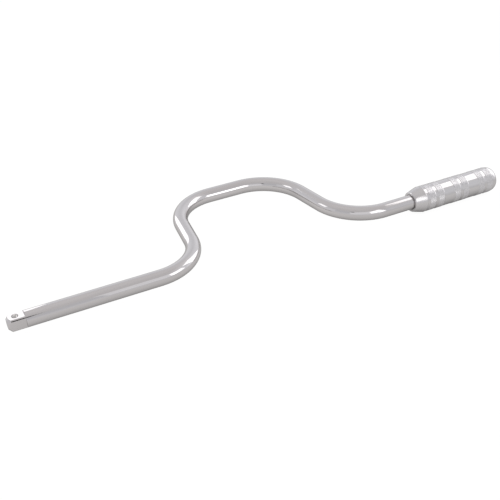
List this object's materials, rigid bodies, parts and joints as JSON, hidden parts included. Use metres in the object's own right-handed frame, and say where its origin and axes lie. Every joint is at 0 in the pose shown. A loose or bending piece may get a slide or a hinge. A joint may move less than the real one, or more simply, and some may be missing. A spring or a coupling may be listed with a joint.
{
  "type": "speed brace",
  "caption": "Chromed cranked bar with a spring-ball drive square at one end and a free-spinning banded steel grip at the other, for running sockets on and off fast.",
  "frame": {"origin": "centre of the drive square's end face, on the turning axis", "axes": "+X along the turning axis from the drive square towards the grip, +Y the side that the crank bows out to, +Z square to the crank's plane on the side of the detent ball"},
  "size_m": [0.416, 0.1105, 0.0216],
  "materials": {
    "bar_chrome": "bright chrome plate over forged and bent steel, polished",
    "ball_steel": "polished hardened ball",
    "spring_steel": "drawn spring wire",
    "grip_chrome": "bright chrome plate, polished smooth bands and diamond-knurled bands",
    "front_bronze": "sintered bearing bronze",
    "rear_bronze": "sintered bearing bronze",
    "washer_steel": "plain ground steel",
    "ring_steel": "black phosphated spring steel",
    "pad_plastic": "natural nylon",
    "cap_chrome": "bright chrome plate, polished"
  },
  "bodies": {
    "crank": {"crank_bar": "bar_chrome", "detent_spring": "spring_steel", "thrust_washer": "washer_steel", "retaining_ring": "ring_steel"},
    "ball": {"detent_ball": "ball_steel"},
    "grip": {"grip_sleeve": "grip_chrome", "front_bush": "front_bronze", "rear_bush": "rear_bronze", "thrust_pad": "pad_plastic", "end_cap": "cap_chrome"}
  },
  "joints": [
    {"name": "grip_spin", "type": "hinge", "parent": "crank", "child": "grip", "pos_m": [0.33093, 0, 0], "axis": [1, 0, 0], "continuous": true},
    {"name": "ball_press", "type": "slide", "parent": "crank", "child": "ball", "axis": [0, 0, -1], "range_m": [0, 0.001], "stiffness_N_per_m": 1500, "deforming": ["detent_spring"]}
  ]
}
